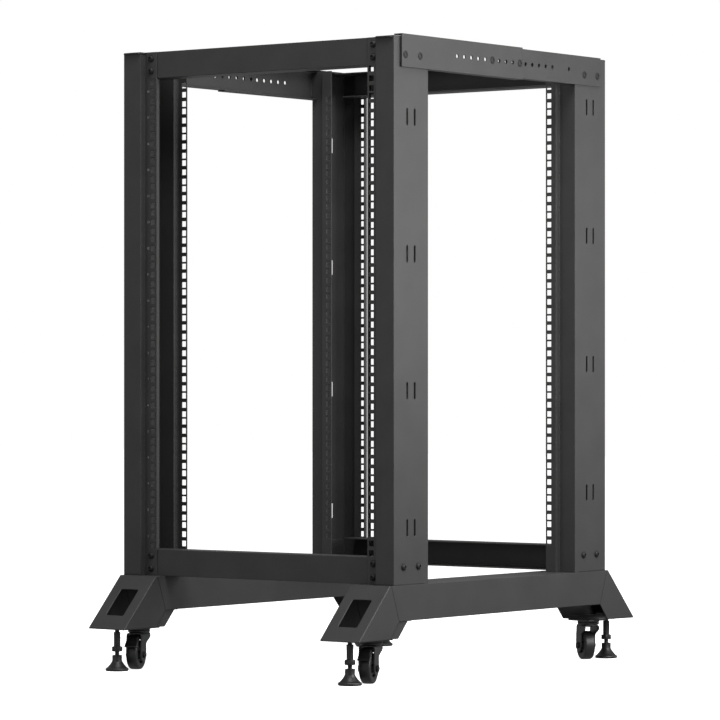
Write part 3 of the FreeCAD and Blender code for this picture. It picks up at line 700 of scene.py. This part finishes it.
stageValues = {
    "floor": 14.0, "dome": 30.0, "domeRows": 12, "domeAround": 24, "world": 0.33,
    "floorGlow": 0.8, "floorTone": 0.9,
}
lightValues = {  # place, what it points at, size, power in watts
    "keyRight": ((1.4, 0.10, 0.90), (0.29, 0, 0.9), (1.2, 0.9), 24.5),
    "rearFill": ((1.5, 2.2, 0.75), (0.29, 0.27, 0.6), (0.9, 0.9), 6.5),
    "topSoft": ((1.2, -1.0, 3.3), (0.1, -0.2, 0.3), (1.6, 1.6), 140.0),
    "frontSoft": ((-1.2, -4.4, 1.9), (0, 0, 0.7), (3.0, 3.0), 22.0),
}
cameraValues = {"lens": 188.578, "place": (3.9281, -5.1804, 0.4995), "turn": 37.28,
                "shift": 0.01996, "sensor": 36.0, "far": 100.0}


def studioDome(v):
    # sphere grid: point = R (sin t cos u, sin t sin u, cos t), faces towards the inside; both
    # poles are left out by a hair
    rows, around = v["domeRows"], v["domeAround"]
    t = np.linspace(0.02, np.pi - 0.02, rows)[:, None]
    u = fullTurn(around)[None, :]
    unit = np.stack([np.sin(t) * np.cos(u), np.sin(t) * np.sin(u), np.cos(t) + 0 * u], -1)
    grid = v["dome"] * unit
    mesh = bpy.data.meshes.new("studioDome")
    mesh.from_pydata(grid.reshape(-1, 3).tolist(), [], turnedOver(bandFaces(rows, around)))
    material, tree = newMaterial("whiteStudioPaper")
    glow = addNode(tree, "ShaderNodeBsdfPrincipled", None, {
        "Base Color": (0, 0, 0, 1), "Roughness": 1.0, "Specular IOR Level": 0.0,
        "Emission Color": (1, 1, 1, 1), "Emission Strength": 1.0})
    finishMaterial(tree, glow)
    mesh.materials.append(material)
    return newObject("studioDome", mesh)


def studioFloor(v):
    # one large square at the height of the floor
    half, tone = v["floor"], v["floorTone"]
    mesh = bpy.data.meshes.new("studioFloor")
    mesh.from_pydata([(-half, -half, 0), (half, -half, 0), (half, half, 0), (-half, half, 0)],
                     [], [(0, 1, 2, 3)])
    material, tree = newMaterial("paintedStudioFloor")
    paint = addNode(tree, "ShaderNodeBsdfPrincipled", None, {
        "Base Color": (tone, tone, tone, 1), "Roughness": 0.8, "Specular IOR Level": 0.1,
        "Emission Color": (1, 1, 1, 1), "Emission Strength": v["floorGlow"]})
    finishMaterial(tree, paint)
    mesh.materials.append(material)
    return newObject("studioFloor", mesh)


def softLight(name, place, target, wide, power):
    # an area light at its place, turned towards its target
    lamp = bpy.data.lights.new(name, "AREA")
    lamp.shape = "RECTANGLE"
    lamp.size, lamp.size_y = wide
    lamp.energy = power
    made = newObject(name, lamp)
    made.location = place
    away = np.array(place) - np.array(target)
    made.rotation_euler = (math.atan2(math.hypot(away[0], away[1]), away[2]), 0,
                           math.atan2(away[1], away[0]) + math.pi / 2)


# the white surroundings are seen but give the object no light of their own
dome = studioDome(stageValues)
dome.visible_diffuse = False
dome.visible_glossy = False
dome.visible_transmission = False
dome.visible_shadow = False
floor = studioFloor(stageValues)
floor.visible_diffuse = False
floor.visible_glossy = False

world = bpy.data.worlds.new("studioWorld")
bpy.context.scene.world = world
world.use_nodes = True
background = world.node_tree.nodes["Background"]
background.inputs["Color"].default_value = (1, 1, 1, 1)
background.inputs["Strength"].default_value = stageValues["world"]

for name, settings in lightValues.items():
    softLight(name, *settings)

lens = bpy.data.cameras.new("viewCamera")
lens.lens = cameraValues["lens"]
lens.sensor_width = cameraValues["sensor"]
lens.shift_y = cameraValues["shift"]
lens.clip_end = cameraValues["far"]
viewCamera = newObject("viewCamera", lens)
viewCamera.location = cameraValues["place"]
viewCamera.rotation_euler = (math.radians(90), 0, math.radians(cameraValues["turn"]))
bpy.context.scene.camera = viewCamera
bpy.context.scene.view_settings.view_transform = "Standard"
print("stage ready")
